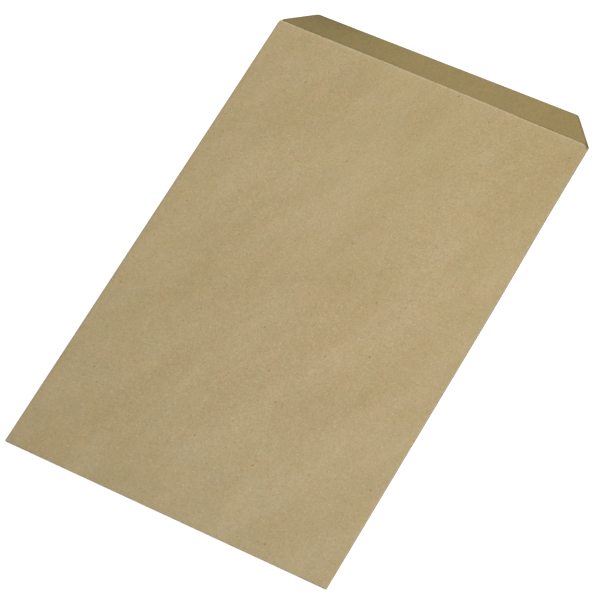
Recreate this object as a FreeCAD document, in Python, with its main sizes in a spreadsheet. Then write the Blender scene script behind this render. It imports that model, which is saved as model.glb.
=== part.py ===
import FreeCAD, Part
import Sketcher
import math
import os

# A manila pocket envelope, folded from one sheet, lying on its address panel with the flap opened out.
# X runs across the pocket, Y along it towards the flap, Z up. The origin is the middle of its base.

sizes = {
    "pocket_width": 254.0,  # across the two side folds
    "pocket_length": 381.0,  # from the bottom fold to the throat
    "flap_depth": 19.0,  # how far the flap reaches past the throat
    "flap_inset": 22.0,  # how far each end of the flap tapers in
    "flap_corner": 1.5,  # rounding of the flap's two outer corners
    "paper": 0.16,  # thickness of the sheet
    "fold_inside": 0.2,  # radius inside a side fold
    "wing_width": 22.0,  # how far each side wing reaches in under the back panel
    "wing_taper": 12.0,  # length of the slanting cut at each end of a wing
    "wing_start": 1.2,  # from the bottom edge to the start of the side folds
    "fold_stop": 1.6,  # the side folds end this far short of the throat, where the flap starts to taper
    "panel_setback": 0.6,  # from a side fold to the back panel's cut edge
    "throat_corner": 4.0,  # rounding of the back panel's corners at the throat
    "panel_rise": 0.9,  # how far the empty pocket springs open at the middle of the throat
    "crease_gap": 0.4,  # from the throat to the flap's crease
    "crease_width": 0.8,
    "crease_depth": 0.05,
}

document = FreeCAD.newDocument("paper_envelope")
sheet = document.addObject("Spreadsheet::Sheet", "sizes")
for row, (name, value) in enumerate(sizes.items(), start=1):
    sheet.set(f"A{row}", name)
    sheet.set(f"B{row}", str(value))
    sheet.setAlias(f"B{row}", name)
document.recompute()

# Places and levels that follow from the sizes
fold_outside = "(sizes.fold_inside + sizes.paper)"
side_line = f"(sizes.pocket_width / 2 - {fold_outside})"  # the sheet starts to turn up into a side fold
wing_top = f"(2 * {fold_outside})"
bottom_outside = "(sizes.fold_inside + 1.5 * sizes.paper)"  # the bottom fold clears the folded wings
bottom_edge = "(-(sizes.pocket_length + sizes.flap_depth) / 2)"
bottom_line = f"({bottom_edge} + {bottom_outside})"  # the sheet starts to turn up into the bottom fold
throat = "((sizes.pocket_length - sizes.flap_depth) / 2)"
fold_start = f"({bottom_edge} + sizes.wing_start)"
fold_end = f"({throat} - sizes.fold_stop)"
wing_inner = "(sizes.pocket_width / 2 - sizes.wing_width)"
panel_edge = "(sizes.pocket_width / 2 - sizes.panel_setback)"

folded_sheet = document.addObject("PartDesign::Body", "folded_sheet")


def origin_feature(role):
    return next(item for item in folded_sheet.Origin.OriginFeatures if item.Role == role)


def bind(sketch, kind, formula, *where):
    """Dimension part of a sketch by a formula of the sizes."""
    value = float(sketch.evalExpression(formula))
    number = sketch.addConstraint(Sketcher.Constraint(kind, *where, value))
    sketch.setExpression(f"Constraints[{number}]", formula)


def new_sketch(name, plane, offset, corners):
    """A closed outline, parallel to an origin plane. Each corner is x, y and, where rounded, a radius."""
    sketch = folded_sheet.newObject("Sketcher::SketchObject", name)
    sketch.AttachmentSupport = (origin_feature(plane), [""])
    sketch.MapMode = "FlatFace"
    sketch.setExpression("AttachmentOffset.Base.z", offset)
    points = [
        FreeCAD.Vector(float(sketch.evalExpression(corner[0])), float(sketch.evalExpression(corner[1])), 0)
        for corner in corners
    ]
    for number, point in enumerate(points):
        sketch.addGeometry(Part.LineSegment(point, points[(number + 1) % len(points)]))
    for number, corner in enumerate(corners):
        sketch.addConstraint(Sketcher.Constraint("Coincident", (number - 1) % len(corners), 2, number, 1))
        bind(sketch, "DistanceX", corner[0], -1, 1, number, 1)
        bind(sketch, "DistanceY", corner[1], -1, 1, number, 1)
    for number, corner in enumerate(corners):
        if len(corner) == 3:
            arc = sketch.GeometryCount
            sketch.fillet(number, 1, float(sketch.evalExpression(corner[2])), True, True)
            bind(sketch, "Radius", corner[2], arc)
    return sketch


def pad(name, sketch):
    """A ply of the sheet, one paper thick, upward from its sketch."""
    feature = folded_sheet.newObject("PartDesign::Pad", name)
    feature.Profile = sketch
    feature.setExpression("Length", "sizes.paper")
    document.recompute()
    return feature


def fold_over(name, sketch, axis_height):
    """Swing a section of the flat sheet half a turn, up and over a line at a height above the table."""
    level = float(sketch.evalExpression(axis_height))
    line = Part.LineSegment(FreeCAD.Vector(0, level, 0), FreeCAD.Vector(1, level, 0))
    axis = sketch.addGeometry(line, True)
    sketch.addConstraint(Sketcher.Constraint("Horizontal", axis))
    sketch.addConstraint(Sketcher.Constraint("PointOnObject", axis, 1, -2))
    sketch.addConstraint(Sketcher.Constraint("Distance", axis, 1.0))
    bind(sketch, "DistanceY", axis_height, -1, 1, axis, 1)
    document.recompute()
    feature = folded_sheet.newObject("PartDesign::Revolution", name)
    feature.Profile = sketch
    feature.ReferenceAxis = (sketch, ["Axis0"])
    feature.Angle = 180
    feature.Reversed = True
    document.recompute()
    return feature


# The address panel and the flap, flat on the table
flap_end = "(sizes.pocket_width / 2 - sizes.flap_inset)"
flap_edge = f"({throat} + sizes.flap_depth)"
address_outline = new_sketch("address_outline", "XY_Plane", "0", [
    (f"-{side_line}", bottom_line),
    (side_line, bottom_line),
    (side_line, fold_end),
    (flap_end, flap_edge, "sizes.flap_corner"),
    (f"-{flap_end}", flap_edge, "sizes.flap_corner"),
    (f"-{side_line}", fold_end),
])
pad("address_panel", address_outline)

# The crease on which the flap closes, pressed in just past the throat
crease_start = f"({throat} + sizes.crease_gap)"
crease_end = f"({crease_start} + sizes.crease_width)"
crease_outline = new_sketch("crease_outline", "XY_Plane", "sizes.paper", [
    ("-sizes.pocket_width / 2", crease_start),
    ("sizes.pocket_width / 2", crease_start),
    ("sizes.pocket_width / 2", crease_end),
    ("-sizes.pocket_width / 2", crease_end),
])
crease = folded_sheet.newObject("PartDesign::Pocket", "flap_crease")
crease.Profile = crease_outline
crease.setExpression("Length", "sizes.crease_depth")
document.recompute()

# One side of the pocket: the side fold, the wing that it turns in, and the back panel's glued margin
side_section = new_sketch("side_section", "YZ_Plane", side_line, [
    (fold_start, "0"),
    (fold_end, "0"),
    (fold_end, "sizes.paper"),
    (fold_start, "sizes.paper"),
])
side_fold = fold_over("side_fold", side_section, fold_outside)

wing_outline = new_sketch("wing_outline", "XY_Plane", f"{wing_top} - sizes.paper", [
    (side_line, fold_start),
    (side_line, fold_end),
    (wing_inner, f"({fold_end} - sizes.wing_taper)"),
    (wing_inner, f"({fold_start} + sizes.wing_taper)"),
])
wing = pad("wing", wing_outline)

margin_outline = new_sketch("margin_outline", "XY_Plane", wing_top, [
    (wing_inner, bottom_line),
    (panel_edge, bottom_line),
    (panel_edge, throat, "sizes.throat_corner"),
    (wing_inner, throat),
])
margin = pad("glued_margin", margin_outline)

other_side = folded_sheet.newObject("PartDesign::Mirrored", "other_side")
other_side.Originals = [side_fold, wing, margin]
other_side.MirrorPlane = (origin_feature("YZ_Plane"), [""])
folded_sheet.Tip = other_side
document.recompute()

# The bottom fold, which carries the back panel over the wings
bottom_section = new_sketch("bottom_section", "XZ_Plane", f"-{bottom_line}", [
    (f"-{panel_edge}", "0"),
    (panel_edge, "0"),
    (panel_edge, "sizes.paper"),
    (f"-{panel_edge}", "sizes.paper"),
])
fold_over("bottom_fold", bottom_section, bottom_outside)


def crown_face():
    """The back panel's free part: level along the margins and the bottom fold, open at the throat."""
    half_width, start, end, level = (
        float(sheet.evalExpression(formula)) for formula in (wing_inner, bottom_line, throat, wing_top)
    )
    across = [0, 0, 1, 1, 1, 1, 1, 0, 0]
    along = [0, 0, 1, 1, 1, 1]
    degree = len(across) - 1
    middle = sum(math.comb(degree, number) * lift for number, lift in enumerate(across)) / 2**degree
    pole_rise = sheet.panel_rise / middle  # so that the middle of the throat stands open by panel_rise
    rows = [
        [
            FreeCAD.Vector(
                half_width * (2 * column / degree - 1),
                start + (end - start) * row / (len(along) - 1),
                level + pole_rise * lift_across * lift_along,
            )
            for row, lift_along in enumerate(along)
        ]
        for column, lift_across in enumerate(across)
    ]
    patch = Part.BezierSurface()
    patch.increase(degree, len(along) - 1)
    for column, poles in enumerate(rows, start=1):
        for row, pole in enumerate(poles, start=1):
            patch.setPole(column, row, pole)
    return patch.toShape()


crown = document.addObject("Part::Feature", "crown_underside")
crown.Shape = crown_face()
back_panel = document.addObject("Part::Extrusion", "back_panel")
back_panel.Base = crown
back_panel.DirMode = "Custom"
back_panel.Dir = FreeCAD.Vector(0, 0, 1)
back_panel.setExpression("LengthFwd", "sizes.paper")
back_panel.Solid = True

envelope = document.addObject("Part::MultiFuse", "envelope")
envelope.Shapes = [folded_sheet, back_panel]
envelope.Refine = True
envelope.Label = "envelope"
envelope.Placement = FreeCAD.Placement()
document.recompute()

for item in document.Objects:
    if "Invalid" in item.State or "Error" in item.State:
        raise RuntimeError(f"{item.Label} failed: {item.State}")
parts = [envelope]
for part in parts:
    if part.Shape.isNull() or not part.Shape.isValid() or len(part.Shape.Solids) != 1:
        raise RuntimeError(f"{part.Label} is not one valid solid")

os.makedirs("parts", exist_ok=True)
for part in parts:
    part.Shape.exportStep(f"parts/{part.Label}.step")
    box = part.Shape.optimalBoundingBox(True, False)
    size = [round(length, 3) for length in (box.XLength, box.YLength, box.ZLength)]
    print(part.Label, "size", size, "volume", round(part.Shape.Volume, 1))
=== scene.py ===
import math

import bmesh
import bpy
from mathutils import Matrix, Vector, noise


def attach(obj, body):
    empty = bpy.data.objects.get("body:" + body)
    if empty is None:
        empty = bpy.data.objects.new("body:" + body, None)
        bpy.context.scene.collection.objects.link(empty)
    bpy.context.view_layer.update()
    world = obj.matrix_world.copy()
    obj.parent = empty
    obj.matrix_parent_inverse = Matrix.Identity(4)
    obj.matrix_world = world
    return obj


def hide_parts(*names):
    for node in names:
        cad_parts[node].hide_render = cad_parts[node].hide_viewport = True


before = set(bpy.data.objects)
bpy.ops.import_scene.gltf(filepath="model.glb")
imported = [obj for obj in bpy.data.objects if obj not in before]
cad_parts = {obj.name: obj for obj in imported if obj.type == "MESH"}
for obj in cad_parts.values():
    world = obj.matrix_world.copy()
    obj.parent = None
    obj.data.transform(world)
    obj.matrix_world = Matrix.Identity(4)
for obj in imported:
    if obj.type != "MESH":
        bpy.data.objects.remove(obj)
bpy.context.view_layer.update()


# Camera, where the photograph was taken from. Angles are in degrees, lengths in metres.
photoView = {
    "azimuth": 42.0666,
    "elevation": 59.3557,
    "roll": -14.3496,
    "distance": 2.44524,
    "lookAt": (0.0029532, -0.0150117, 0.0),
    "lens": 211.152,  # in millimetres, like the sensor's width
    "sensor": 36.0,
}


def lookFrom(azimuth, elevation, roll=0.0):
    turn = Matrix.Rotation(math.radians(azimuth), 4, "Z")
    tilt = Matrix.Rotation(math.radians(90 - elevation), 4, "X")
    return turn @ tilt @ Matrix.Rotation(math.radians(roll), 4, "Z")


def addCamera(view):
    camera = bpy.data.objects.new("photoCamera", bpy.data.cameras.new("photoCamera"))
    bpy.context.scene.collection.objects.link(camera)
    camera.data.sensor_width = view["sensor"]
    camera.data.lens = view["lens"]
    aim = lookFrom(view["azimuth"], view["elevation"], view["roll"])
    place = Vector(view["lookAt"]) + aim.to_3x3() @ Vector((0, 0, view["distance"]))
    camera.matrix_world = Matrix.Translation(place) @ aim
    bpy.context.scene.camera = camera


addCamera(photoView)
print("camera set")


# Node trees written as sums
class Wire:
    # an output socket that can be added, subtracted and multiplied

    def __init__(self, paint, socket):
        self.paint = paint
        self.socket = socket

    def compute(self, operation, *others, **settings):
        values = dict(enumerate([self, *others]))
        return self.paint.add("ShaderNodeMath", {"operation": operation, **settings}, values)

    def __add__(self, other):
        return self.compute("ADD", other)

    def __sub__(self, other):
        return self.compute("SUBTRACT", other)

    def __rsub__(self, other):
        return self.paint.add("ShaderNodeMath", {"operation": "SUBTRACT"}, {0: other, 1: self})

    def __mul__(self, other):
        return self.compute("MULTIPLY", other)

    __radd__ = __add__
    __rmul__ = __mul__


class Paint:
    # the nodes of a material or a world, with one method that adds any node

    def __init__(self, owner):
        self.owner = owner
        owner.use_nodes = True
        self.tree = owner.node_tree
        self.tree.nodes.clear()

    def add(self, kind, settings=None, values=None, output=0):
        node = self.tree.nodes.new(kind)
        for name, setting in (settings or {}).items():
            setattr(node, name, setting)
        for name, value in (values or {}).items():
            if isinstance(value, Wire):
                self.tree.links.new(value.socket, node.inputs[name])
            else:
                node.inputs[name].default_value = value
        return Wire(self, node.outputs[output])

    def place(self, scale=(1, 1, 1), turn=0.0):
        # the object's own coordinates in metres, turned in the paper's plane and then stretched
        place = self.add("ShaderNodeTexCoord", output="Object")
        if turn:
            values = {"Vector": place, "Angle": math.radians(turn)}
            place = self.add("ShaderNodeVectorRotate", {"rotation_type": "Z_AXIS"}, values)
        return self.add("ShaderNodeMapping", None, {"Vector": place, "Scale": scale})

    def axis(self, letter):
        place = self.add("ShaderNodeTexCoord", output="Object")
        return self.add("ShaderNodeSeparateXYZ", None, {"Vector": place}, output=letter)

    def away(self, x, y):
        # metres from a place on the sheet
        values = {0: self.place(), 1: (x, y, 0)}
        return self.add("ShaderNodeVectorMath", {"operation": "DISTANCE"}, values, output="Value")

    def noise(self, across, along, turn, detail, roughness):
        # cells to the metre across and along the sheet, and the angle it is turned by in degrees
        place = self.place((across, along, across), turn)
        values = {"Vector": place, "Scale": 1.0, "Detail": detail, "Roughness": roughness}
        return self.add("ShaderNodeTexNoise", {"noise_dimensions": "3D"}, values)

    def ease(self, value, low, high, start=0.0, end=1.0):
        # start below low, end above high, and a smooth step between
        values = {"Value": value, "From Min": low, "From Max": high, "To Min": start, "To Max": end}
        return self.add("ShaderNodeMapRange", {"interpolation_type": "SMOOTHSTEP"}, values)

    def patch(self, x, y, radius, strength):
        return self.ease(self.away(x, y), 0.0, radius, strength, 0.0)

    def mix(self, factor, one, other):
        values = {"Factor": factor, 6: one, 7: other}
        return self.add("ShaderNodeMix", {"data_type": "RGBA"}, values, output=2)

    def lighten(self, colour, amount):
        values = {0: colour, "Scale": amount}
        return self.add("ShaderNodeVectorMath", {"operation": "SCALE"}, values)

    def tint(self, colour, other):
        values = {0: colour, 1: other}
        return self.add("ShaderNodeVectorMath", {"operation": "MULTIPLY"}, values)

    def paper(self, look, colour, roughness, relief):
        # a matt surface with a fine relief
        height = {"Strength": look["bump"], "Distance": look["bumpHeight"], "Height": relief}
        values = {
            "Base Color": colour,
            "Roughness": roughness,
            "Specular IOR Level": look["specular"],
            "Normal": self.add("ShaderNodeBump", None, height),
        }
        return self.finish(self.add("ShaderNodeBsdfPrincipled", None, values))

    def finish(self, shader, output="ShaderNodeOutputMaterial"):
        last = self.tree.nodes.new(output)
        self.tree.links.new(shader.socket, last.inputs["Surface"])
        return self.owner


# Manila kraft. Colours are linear, lengths in metres. A row of two numbers gives where a change
# begins and ends, and a row of four gives its values at both ends too.
kraftLook = {
    "paleTint": (0.4905, 0.3877, 0.2210, 1.0),
    "darkTint": (0.4135, 0.3173, 0.1580, 1.0),
    "barkTint": (0.2000, 0.1380, 0.0640, 1.0),
    "strawTint": (0.6200, 0.5200, 0.3400, 1.0),
    # the pale of the worn throat edge with its painted highlight, and of painted light on the right
    # fold
    "paleWearAndLightTint": (0.5750, 0.5000, 0.3200, 1.0),
    "throatWash": (1.010, 1.000, 0.955, 1.0),  # the paper is tinted by this towards the throat
    "footWash": (0.988, 1.000, 1.042, 1.0),  # and by this towards the bottom edge
    "washMiddle": 0.48,  # share of the second wash at the middle
    "washFade": (-0.120, 0.080, 1.2, 2.7),  # and how fast it fades to the metre, from left to right
    "layers": {
        # cells to the metre across and along, turn in degrees, detail, roughness
        # the paper's cloudy formation, with painted shade of its slow waves, turned like them
        "cloudAndWaveShade": (24, 9, 22, 3, 0.6),
        "mottle": (150, 150, 0, 3, 0.6),
        "streak": (420, 42, -4, 3, 0.6),
        "grain": (620, 620, 0, 3, 0.7),
        "speckle": (1150, 1150, 0, 2, 0.6),
        "fibre": (3200, 380, -4, 2, 0.6),
    },
    "pulp": {"cloudAndWaveShade": 1.75, "mottle": 0.62, "streak": 0.3},  # how much of each layer shows
    "fine": {"grain": 2.1, "speckle": 3.3, "fibre": 2.0},
    "relief": {"grain": 1.0, "fibre": 0.8, "mottle": 0.5},
    "patches": [
        # middle and radius of the broadest pale and dark patches, and how pale they are: the
        # paper's cloudiness, with painted light and shade of its slow buckles
        (0.110, 0.045, 0.085, 0.18),
        (0.018, -0.050, 0.085, -0.20),
        (0.105, -0.085, 0.045, -0.13),
        (0.065, -0.158, 0.045, 0.11),
        (-0.085, -0.120, 0.050, 0.06),
        (-0.115, 0.130, 0.040, -0.12),
        (0.074, 0.163, 0.030, -0.13),
        (0.030, 0.176, 0.036, 0.24),
    ],
    "blush": (0.060, -0.030, 0.150, 0.014),  # middle, radius and strength of a broad redder patch
    "redClouds": (60, 60, 0, 4, 0.68),  # these two are layers like those above
    "blueClouds": (55, 40, 70, 4, 0.66),
    "redDrift": 0.145,  # how far the red and the blue of the pulp wander
    "blueDrift": 0.215,
    "grainLight": (0.153, 0.170, 0.240),  # how much lighter fine grain is in red, green and blue
    "flecks": [
        # cells to the metre, share of them with a speck, half width, turn, strength, tint
        (43, 0.24, 0.00066, 14, 0.66, "barkTint"),
        (67, 0.22, 0.00052, -52, 0.52, "barkTint"),
        (200, 0.58, 0.00041, 75, 0.42, "barkTint"),
        (82, 0.34, 0.00052, -20, 0.54, "strawTint"),
        (210, 0.54, 0.00042, 40, 0.50, "strawTint"),
    ],
    "fleckStretch": 0.65,  # cells along the sheet for each cell across
    "panelLevel": (0.00060, 0.00070),  # the back panel lies above this height
    "throatSlant": 0.0045,  # its edge at the throat moves back by this to the metre
    "throatPale": (0.1730, 0.1810, 0.0, 0.02),
    "throatWearAndHighlight": (0.1791, 0.1803, 0.0, 0.36),
    "lumps": (700, 700, 0, 2, 0.5),  # a layer that makes the worn edge with its painted highlight uneven
    "lumpiness": (0.36, 0.64, 0.1, 1.9),
    "rightDrawn": (0.020, 0.140, 0.0, 0.0009),  # the right edge draws in towards the throat
    # painted light on the right fold
    "rightFoldLight": (0.1258, 0.1267, 0.0, 0.55),
    # painted shade along the left and bottom folds
    "leftFoldShade": (-0.1266, -0.1245, 0.35, 0.0),
    "footFoldShade": (-0.1998, -0.1992, 0.10, 0.0),
    "foldShade": 0.20,  # how much darker the painted shade makes a fold
    "wingFloor": (0.00045, 0.00055),
    "wingCeiling": (0.00072, 0.00076, 1.0, 0.0),
    "wingInner": (0.1050, 0.1052),
    "glueAndShade": 0.60,  # how much darker the wings are under the back panel, with dried glue and painted shade
    "roughness": 0.72,
    "roughGrain": 0.10,
    "specular": 0.14,
    "bump": 0.25,
    "bumpHeight": 0.00004,
}


def kraftPattern(paint, look):
    # how pale the pulp is, with painted light and shade of the sheet's slow waves, from 0 to 1,
    # then its fine grain and its relief, both about 0
    layers = {name: paint.noise(*layer) - 0.5 for name, layer in look["layers"].items()}
    pulp, fine, relief = [
        sum(layers[name] * share for name, share in look[pattern].items())
        for pattern in ("pulp", "fine", "relief")
    ]
    pulp = pulp + 0.5
    for patch in look["patches"]:
        pulp = pulp + paint.patch(*patch)
    return pulp, fine, relief


def kraftHue(paint, look, fine):
    # what the red, green and blue are multiplied by
    red, green, blue = [1 + fine * strength for strength in look["grainLight"]]
    red = red + paint.patch(*look["blush"])
    red = red + (paint.noise(*look["redClouds"]) - 0.5) * look["redDrift"]
    blue = blue + (paint.noise(*look["blueClouds"]) - 0.5) * look["blueDrift"]
    return paint.add("ShaderNodeCombineXYZ", None, {"X": red, "Y": green, "Z": blue})


def fleckMask(paint, look, cells, share, size, turn):
    # short specks, one in some of the cells
    place = paint.place((cells, cells * look["fleckStretch"], cells), turn)
    settings = {"voronoi_dimensions": "2D", "feature": "F1"}
    values = {"Vector": place, "Scale": 1.0, "Randomness": 1.0}
    away = paint.add("ShaderNodeTexVoronoi", settings, values, output="Distance")
    pick = paint.add("ShaderNodeTexVoronoi", settings, values, output="Color")
    chance = paint.add("ShaderNodeSeparateColor", None, {"Color": pick}, output="Red")
    reach = size * cells
    return paint.ease(away, reach / 2, reach, 1.0, 0.0) * chance.compute("LESS_THAN", share)


def kraftPaper():
    look = kraftLook
    paint = Paint(bpy.data.materials.new("manilaKraft"))
    x, y, z = [paint.axis(letter) for letter in "XYZ"]
    pulp, fine, relief = kraftPattern(paint, look)
    colour = paint.mix(pulp, look["darkTint"], look["paleTint"])
    colour = paint.tint(colour, kraftHue(paint, look, fine))
    # a little yellower by the throat and cooler by the foot, more so on the right
    towardFoot = look["washMiddle"] - y * paint.ease(x, *look["washFade"])
    colour = paint.tint(colour, paint.mix(towardFoot, look["throatWash"], look["footWash"]))
    # painted shade darkens the left and bottom folds, and the wings are dark with dried glue and
    # painted shade
    shadedFold = paint.ease(x, *look["leftFoldShade"])
    shadedFold = shadedFold.compute("MAXIMUM", paint.ease(y, *look["footFoldShade"]))
    # the wings under the back panel: dried glue and painted shade
    gluedAndShaded = paint.ease(z, *look["wingFloor"]) * paint.ease(z, *look["wingCeiling"])
    gluedAndShaded = gluedAndShaded * paint.ease(x.compute("ABSOLUTE"), *look["wingInner"])
    onPanel = paint.ease(z, *look["panelLevel"])
    shade = 1 + onPanel * paint.ease(y, *look["throatPale"])
    shade = shade * (1 - shadedFold * look["foldShade"]) * (1 - gluedAndShaded * look["glueAndShade"])
    colour = paint.lighten(colour, shade)
    # the back panel's edge at the throat is worn pale with a painted highlight, and the right fold
    # is painted pale, painted light against its shade
    lumpy = paint.ease(paint.noise(*look["lumps"]), *look["lumpiness"])
    highlitThroat = onPanel * paint.ease(y + x * look["throatSlant"], *look["throatWearAndHighlight"]) * lumpy
    litRightFold = paint.ease(x + paint.ease(y, *look["rightDrawn"]), *look["rightFoldLight"])
    colour = paint.mix(highlitThroat.compute("MAXIMUM", litRightFold), colour, look["paleWearAndLightTint"])
    for cells, share, size, turn, strength, tint in look["flecks"]:
        fleck = fleckMask(paint, look, cells, share, size, turn)
        colour = paint.mix(fleck * strength, colour, look[tint])
    return paint.paper(look, colour, look["roughness"] + relief * look["roughGrain"], relief)


# The sheet's inner side, and the gum that was brushed on the flap and has dried
gumLook = {
    "gumTint": (0.2965, 0.2262, 0.0895, 1.0),
    "brownTint": (0.3045, 0.2222, 0.0868, 1.0),
    # painted shade in the pocket
    "pocketShadowTint": (0.1900, 0.1500, 0.0700, 1.0),
    "brushMarks": (60, 190, 6, 3, 0.6),  # these two are layers like the kraft's
    "blotches": (130, 130, 0, 3, 0.6),
    "blotchEdge": (0.45, 0.62),
    "pocketShade": (0.1814, 0.1824),
    "leftEnd": (-0.120, 0.030, 0.815, 1.015),  # how light the flap is towards its ends: painted shade, most at the left end, which bends away from the light
    "rightEnd": (0.085, 0.110, 1.0, 0.985),
    "outward": (-0.0114, 1.0),  # the way out over the flap's outer edge, across and along
    "outerRim": (0.1973, 0.1985),
    "outerRimFade": (-0.086, -0.074, 1.5, 0.4),  # its strength, from left to right
    "haze": (0.1890, 0.1970),  # a faint shade inside that rim
    "hazeFade": (-0.070, -0.045, 0.08, 0.0),
    "leftOut": (-0.553, 0.834),  # and the ways out over its slanting ends
    "leftRim": (0.2208, 0.2218),
    "rightOut": (0.722, 0.692),
    "rightRim": (0.2136, 0.2148),
    "rightRimFade": (0.1810, 0.1860, 2.8, 1.0),  # its strength, from the throat outward
    # how dark the painted shadow along the flap's edges is
    "rimShade": 0.24,
    "evenness": 0.84,  # the rest of the gum's lightness is streaks and grain
    "unevenness": 0.16,
    "roughness": 0.58,
    "roughStreaks": 0.3,
    "specular": 0.18,
    "bump": 0.15,
    "bumpHeight": 0.00004,
}


def flapTone(paint, look, x, y):
    # how light the flap is: painted shade towards its left end, which bends away from the light,
    # and a painted shadow along its three edges
    outward, leftOut, rightOut = [
        x * look[way][0] + y * look[way][1] for way in ("outward", "leftOut", "rightOut")
    ]
    outerRim = paint.ease(outward, *look["outerRim"]) * paint.ease(x, *look["outerRimFade"])
    rightRim = paint.ease(rightOut, *look["rightRim"]) * paint.ease(y, *look["rightRimFade"])
    rim = outerRim.compute("MAXIMUM", paint.ease(leftOut, *look["leftRim"]))
    rim = rim.compute("MAXIMUM", rightRim)
    haze = paint.ease(outward, *look["haze"]) * paint.ease(x, *look["hazeFade"])
    ends = paint.ease(x, *look["leftEnd"]) * paint.ease(x, *look["rightEnd"])
    return ends * (1 - rim * look["rimShade"]) * (1 - haze)


def innerSide():
    look = gumLook
    paint = Paint(bpy.data.materials.new("gummedInside"))
    x, y = [paint.axis(letter) for letter in "XY"]
    pulp, fine, relief = kraftPattern(paint, kraftLook)
    brushed = paint.noise(*look["brushMarks"])
    blotch = paint.ease(paint.noise(*look["blotches"]), *look["blotchEdge"])
    colour = paint.mix(blotch, look["gumTint"], look["brownTint"])
    # painted shade in the pocket, and a painted line of shadow under the back panel's edge
    outside = paint.ease(y + x * kraftLook["throatSlant"], *look["pocketShade"])
    colour = paint.mix(outside, look["pocketShadowTint"], colour)
    streaks = look["evenness"] + (pulp + fine + brushed) * look["unevenness"]
    colour = paint.lighten(colour, streaks * flapTone(paint, look, x, y))
    roughness = look["roughness"] + (brushed - 0.5) * look["roughStreaks"]
    return paint.paper(look, colour, roughness, relief + brushed)


# The sheet's cut edges, which are paler than its faces
edgeLook = {
    "tint": (0.520, 0.425, 0.260),
    "ragged": (2600, 2600, 0, 2, 0.6),  # a layer like the kraft's
    "lightness": 0.85,  # where it is darkest, and how much lighter it gets
    "raggedness": 0.3,
    "roughness": 0.9,
    "specular": 0.15,
}


def cutEdge():
    look = edgeLook
    paint = Paint(bpy.data.materials.new("cutPaperEdge"))
    ragged = paint.noise(*look["ragged"])
    values = {
        "Base Color": paint.lighten(look["tint"], look["lightness"] + ragged * look["raggedness"]),
        "Roughness": look["roughness"],
        "Specular IOR Level": look["specular"],
    }
    return paint.finish(paint.add("ShaderNodeBsdfPrincipled", None, values))


# The envelope, one folded sheet. Lengths are in millimetres until the mesh is scaled to metres.
sheetSizes = {
    "pocketWidth": 254.0,
    "pocketLength": 381.0,
    "flapDepth": 19.0,
    "flapCorner": 1.5,
    "flapCornerSteps": 4,
    # the flap was cut a little askew: its right end first, then its left end and the shoulder there
    "flapRight": [(106.9, 200.0)],
    "flapLeft": [(-103.6, 197.6), (-124.7, 183.6), (-126.45, 181.2)],
    "paper": 0.16,
    "sideFold": 0.35,  # outer radius of a side fold
    "bottomFold": 0.44,  # and of the bottom fold, which closes over the wings
    "foldSteps": 8,
    "wingWidth": 22.0,
    "wingTaper": 12.0,
    "foldStart": 0.6,  # from the bottom edge to the side folds
    "foldStop": 1.6,  # from the side folds to the throat
    "panelSetback": 0.42,  # from a side fold to the back panel's cut edge
    "throatCorners": {"right": 6.0, "left": 1.2},  # rounding of the back panel at the throat
    "throatCornerSteps": 8,
    "throatSlant": -0.0045,  # the back panel was cut a little askew there
    "slantReach": 5,  # how far from the throat that moves the paper
    "crease": 0.8,  # from the throat to the flap's crease
    "flapCuts": (-0.4, 0, 0.4, 2, 5, 9, 13),  # from the crease, closer together beside it
    "spacing": 3.5,  # between the cuts that let the paper curve
    "rise": 0.84,  # how far the back panel stands open at the middle of the throat
    "riseAcross": [0, 0, 1, 1, 1, 1, 1, 0, 0],  # levels that its curve follows
    "riseAlong": [0, 0, 1, 1, 1, 1],
    "wave": 0.75,  # height of the paper's slow waves
    "waveTurn": 22.0,  # and the angle between them and the long side
    "waves": [(1.0, 15, 55, 3.1), (0.5, 34, 90, 8.7)],  # share, lengths across and along, level
    "waveCalm": 0.92,  # share of the waves that goes where the panel stands open
    "narrowing": 0.9,  # how much the right edge draws in towards the throat
    "narrowFrom": (20, 140),
    "shortening": 0.45,  # how much the right end of the bottom edge draws in
    "shortFrom": (-110, -190),
    "flapLift": 0.35,  # how far the flap's outer edge stays off the table
    "flapSway": (0.25, 38, 0.6),  # share of the lift that varies, wave length and start
    "flapCurl": 1.3,  # how steeply the lift grows
}
touching = 0.01  # corners this near to a line or a level are on it


def foldLines(size):
    # where the sheet is cut and folded, from the middle of the envelope
    bottom = -(size["pocketLength"] + size["flapDepth"]) / 2
    throat = bottom + size["pocketLength"]
    half = size["pocketWidth"] / 2
    return {
        "throat": throat,
        "flapEdge": throat + size["flapDepth"],
        "crease": throat + size["crease"],
        "half": half,
        "side": half - size["sideFold"],  # the sheet turns up here
        "foot": bottom + size["bottomFold"],  # and here
        "panelSide": half - size["panelSetback"],
        "wingInner": half - size["wingWidth"],
        "foldStart": bottom + size["foldStart"],
        "foldEnd": throat - size["foldStop"],
    }


def endEdge(mesh, test):
    return next(edge for edge in mesh.edges if all(test(corner.co) for corner in edge.verts))


def swingOver(mesh, edge, centre, axis, steps):
    # half a turn of an edge of the sheet, which makes a fold
    swung = bmesh.ops.spin(
        mesh, geom=[edge, *edge.verts], cent=centre, axis=axis, angle=math.pi, steps=steps
    )
    return next(item for item in swung["geom_last"] if isinstance(item, bmesh.types.BMEdge))


def drawOut(mesh, edge, way):
    drawn = bmesh.ops.extrude_edge_only(mesh, edges=[edge])["geom"]
    corners = [item for item in drawn if isinstance(item, bmesh.types.BMVert)]
    bmesh.ops.translate(mesh, verts=corners, vec=way)
    return corners


def roundCorners(mesh, corners, radius, steps):
    bmesh.ops.bevel(
        mesh, geom=corners, offset=radius, offset_type="OFFSET", segments=steps, profile=0.5,
        affect="VERTICES", material=-1,
    )


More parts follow.
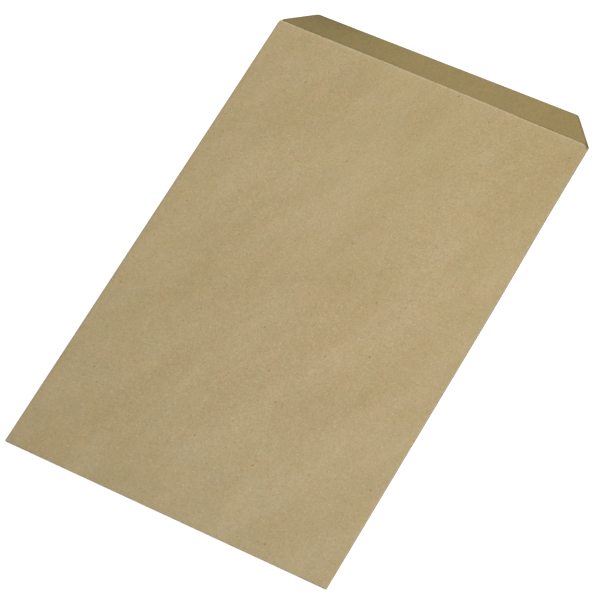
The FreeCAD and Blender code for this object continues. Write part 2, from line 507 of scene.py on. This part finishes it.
def cutRows(mesh, places, direction):
    for place in places:
        bmesh.ops.bisect_plane(
            mesh, geom=[*mesh.verts, *mesh.edges, *mesh.faces], dist=1e-4,
            plane_co=direction * place, plane_no=direction,
        )


def layOut(mesh, size, at):
    # the address panel and the flap, flat on the table
    outline = [
        (-at["side"], at["foot"]), (-at["panelSide"], at["foot"]),
        (at["panelSide"], at["foot"]), (at["side"], at["foot"]),
        (at["side"], at["foldStart"]), (at["side"], at["foldEnd"]),
        *size["flapRight"], *size["flapLeft"],
        (-at["side"], at["foldEnd"]), (-at["side"], at["foldStart"]),
    ]
    mesh.faces.new([mesh.verts.new((x, y, 0)) for x, y in outline])
    ends = [size["flapRight"][-1], size["flapLeft"][0]]
    outer = [corner for corner in mesh.verts if corner.co.y >= min(y for x, y in ends) - touching]
    roundCorners(mesh, outer, size["flapCorner"], size["flapCornerSteps"])


def foldSides(mesh, size, at):
    # the side folds and the wings that they turn in
    for hand in (1, -1):
        edge = endEdge(mesh, lambda place: (
            place.x * hand > at["side"] - touching
            and at["foot"] + touching < place.y < at["throat"]
        ))
        centre = (hand * at["side"], 0, size["sideFold"])
        edge = swingOver(mesh, edge, centre, (0, -hand, 0), size["foldSteps"])
        for corner in drawOut(mesh, edge, (hand * (at["wingInner"] - at["side"]), 0, 0)):
            corner.co.y += math.copysign(size["wingTaper"], -corner.co.y)


def foldBottom(mesh, size, at):
    # the bottom fold and the back panel that it carries over the wings
    edge = endEdge(mesh, lambda place: (
        abs(place.x) < at["panelSide"] + touching and place.y < at["foot"] + touching
    ))
    centre = (0, at["foot"], size["bottomFold"])
    edge = swingOver(mesh, edge, centre, (-1, 0, 0), size["foldSteps"])
    for corner in drawOut(mesh, edge, (0, at["throat"] - at["foot"], 0)):
        radius = size["throatCorners"]["right" if corner.co.x > 0 else "left"]
        roundCorners(mesh, [corner], radius, size["throatCornerSteps"])


def cutFine(mesh, size, at):
    # cuts across and along
    columns = math.ceil(2 * at["wingInner"] / size["spacing"])
    length = at["throat"] - at["foot"]
    rows = math.ceil(length / size["spacing"])
    across, along = Vector((1, 0, 0)), Vector((0, 1, 0))
    cutRows(mesh, [at["wingInner"] * (2 * n / columns - 1) for n in range(columns + 1)], across)
    cutRows(mesh, [at["foot"] + length * n / rows for n in range(1, rows)], along)
    cutRows(mesh, [at["throat"], *(at["crease"] + gap for gap in size["flapCuts"])], along)


def bellCurve(levels, along):
    # a smooth curve that follows a row of levels
    last = len(levels) - 1
    return sum(
        math.comb(last, number) * along**number * (1 - along) ** (last - number) * level
        for number, level in enumerate(levels)
    )


def sprung(place, size, at):
    # how far the back panel's free part stands up at a place
    across = (place.x + at["wingInner"]) / (2 * at["wingInner"])
    along = (place.y - at["foot"]) / (at["throat"] - at["foot"])
    if not 0 < across < 1 or not 0 < along <= 1.001:
        return 0.0
    crown = bellCurve(size["riseAcross"], across) / bellCurve(size["riseAcross"], 0.5)
    crown *= bellCurve(size["riseAlong"], along)
    turned = Matrix.Rotation(math.radians(size["waveTurn"]), 3, "Z") @ place
    slow = sum(
        share * noise.noise(Vector((turned.x / wide, turned.y / long, level)))
        for share, wide, long, level in size["waves"]
    )
    free = min(1.0, 6 * across * (1 - across)) * min(1.0, 8 * along)
    return crown * size["rise"] + size["wave"] * slow * free * (1 - size["waveCalm"] * crown)


def easeUp(value, low, high):
    value = min(1.0, max(0.0, (value - low) / (high - low)))
    return value * value * (3 - 2 * value)


def drawnIn(place, size, at):
    # the sheet was not folded quite true: how far its right edge and its bottom edge draw in
    aside = place.x / at["half"]
    across = size["narrowing"] * easeUp(place.y, *size["narrowFrom"])
    across *= min(1.0, (at["flapEdge"] - place.y) / size["flapDepth"])
    along = size["shortening"] * easeUp(place.y, *size["shortFrom"]) * (1 + aside) / 2
    return Vector((-across * max(0.0, aside) ** 4, along, 0))


def curve(mesh, size, at):
    # the open throat, the paper's waves, the lifted flap and the edges that are not quite true
    panelTop = 2 * size["bottomFold"]
    swayShare, swayLength, swayStart = size["flapSway"]
    for corner in mesh.verts:
        place = corner.co
        if place.z > panelTop - touching:
            place.z += sprung(place, size, at)
            if place.y > at["throat"] - size["slantReach"]:
                place.y += size["throatSlant"] * place.x
        elif place.y > at["crease"] and place.z < touching:
            reach = (place.y - at["crease"]) / (at["flapEdge"] - at["crease"])
            sway = 1 - swayShare + swayShare * math.sin(place.x / swayLength + swayStart)
            place.z += size["flapLift"] * sway * reach ** size["flapCurl"]
        corner.co += drawnIn(place, size, at)


def thicken(mesh, size):
    # one paper's thickness, with the inner side and the cut edges in material slots of their own
    bmesh.ops.remove_doubles(mesh, verts=mesh.verts[:], dist=0.001)
    bmesh.ops.recalc_face_normals(mesh, faces=mesh.faces[:])
    underside = min(mesh.faces, key=lambda face: face.calc_center_median().z)
    if underside.normal.z > 0:
        bmesh.ops.reverse_faces(mesh, faces=mesh.faces[:])
    outer = set(mesh.faces)
    inner = set(bmesh.ops.solidify(mesh, geom=mesh.faces[:], thickness=size["paper"])["geom"])
    for face in mesh.faces:
        face.smooth = True
        if face in inner:
            face.material_index = 1
        elif face not in outer:
            face.material_index = 2


def foldEnvelope(size):
    at = foldLines(size)
    mesh = bmesh.new()
    layOut(mesh, size, at)
    foldSides(mesh, size, at)
    foldBottom(mesh, size, at)
    cutFine(mesh, size, at)
    curve(mesh, size, at)
    thicken(mesh, size)
    bmesh.ops.scale(mesh, verts=mesh.verts[:], vec=(0.001, 0.001, 0.001))
    data = bpy.data.meshes.new("foldedEnvelope")
    mesh.to_mesh(data)
    mesh.free()
    data.set_sharp_from_angle(angle=math.radians(40))
    for material in (kraftPaper(), innerSide(), cutEdge()):
        data.materials.append(material)
    piece = bpy.data.objects.new("foldedEnvelope", data)
    bpy.context.scene.collection.objects.link(piece)
    return piece


envelope = foldEnvelope(sheetSizes)
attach(envelope, "root")
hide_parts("envelope")
print("envelope folded,", len(envelope.data.polygons), "faces")


# A plain white table top and soft studio light
studio = {
    "tableHalf": 4.0,
    "tableDrop": 0.00004,  # just under the paper
    "tableTint": (0.86, 0.86, 0.86),
    "tableLayer": (300, 300, 0, 2, 0.5),  # a faint grain, like the kraft's layers
    "tableGrain": (0.995, 0.01),  # where it is darkest, and how much lighter it gets
    "glow": 0.36,  # lifts the table to white for the camera
    "whiteFrom": (0.27, 0.46),  # metres from the middle, where the table fades to plain white
    "skyLevel": 0.229,
    "lamps": [
        # name, azimuth and height of the lamp in degrees, distance and side in metres, watts
        ("softBack", 194.0, 63.0, 0.83, 0.45, 2.97),
        ("softFront", 60.5, 58.0, 0.84, 0.45, 3.58),
    ],
}


def seenDirectly(paint):
    # 1 for the camera and for what shines or is seen through, 0 for the light that falls on things
    camera, glossy, clear = [
        paint.add("ShaderNodeLightPath", output=ray)
        for ray in ("Is Camera Ray", "Is Glossy Ray", "Is Transmission Ray")
    ]
    return (camera + glossy).compute("ADD", clear, use_clamp=True)


def addTable():
    mesh = bmesh.new()
    bmesh.ops.create_grid(mesh, x_segments=8, y_segments=8, size=studio["tableHalf"])
    bmesh.ops.translate(mesh, verts=mesh.verts[:], vec=(0, 0, -studio["tableDrop"]))
    data = bpy.data.meshes.new("tableTop")
    mesh.to_mesh(data)
    mesh.free()
    paint = Paint(bpy.data.materials.new("whiteTable"))
    darkest, lighter = studio["tableGrain"]
    grain = darkest + paint.noise(*studio["tableLayer"]) * lighter
    colour = paint.lighten(studio["tableTint"], grain)
    matt = paint.add("ShaderNodeBsdfDiffuse", None, {"Color": colour})
    glow = paint.add("ShaderNodeEmission", None, {"Strength": studio["glow"]})
    white = paint.add("ShaderNodeEmission", None, {"Strength": 1.0})
    lit = paint.add("ShaderNodeAddShader", None, {0: matt, 1: glow})
    far = paint.ease(paint.away(0, 0), *studio["whiteFrom"])
    faded = paint.add("ShaderNodeMixShader", None, {0: far, 1: lit, 2: white})
    top = paint.add("ShaderNodeMixShader", None, {0: seenDirectly(paint), 1: matt, 2: faded})
    data.materials.append(paint.finish(top))
    table = bpy.data.objects.new("tableTop", data)
    bpy.context.scene.collection.objects.link(table)


def addSky():
    world = bpy.data.worlds.new("studioSky")
    bpy.context.scene.world = world
    paint = Paint(world)
    light, white = [
        paint.add("ShaderNodeBackground", None, {"Color": (1, 1, 1, 1), "Strength": level})
        for level in (studio["skyLevel"], 1.0)
    ]
    sky = paint.add("ShaderNodeMixShader", None, {0: seenDirectly(paint), 1: light, 2: white})
    paint.finish(sky, "ShaderNodeOutputWorld")


def addLamps():
    for name, azimuth, elevation, distance, side, power in studio["lamps"]:
        data = bpy.data.lights.new(name, "AREA")
        data.shape = "SQUARE"
        data.size = side
        data.energy = power
        lamp = bpy.data.objects.new(name, data)
        lamp.visible_camera = False
        bpy.context.scene.collection.objects.link(lamp)
        aim = lookFrom(azimuth, elevation)
        lamp.matrix_world = Matrix.Translation(aim.to_3x3() @ Vector((0, 0, distance))) @ aim


addTable()
addSky()
addLamps()
bpy.context.scene.view_settings.view_transform = "Standard"
print("table and light set")
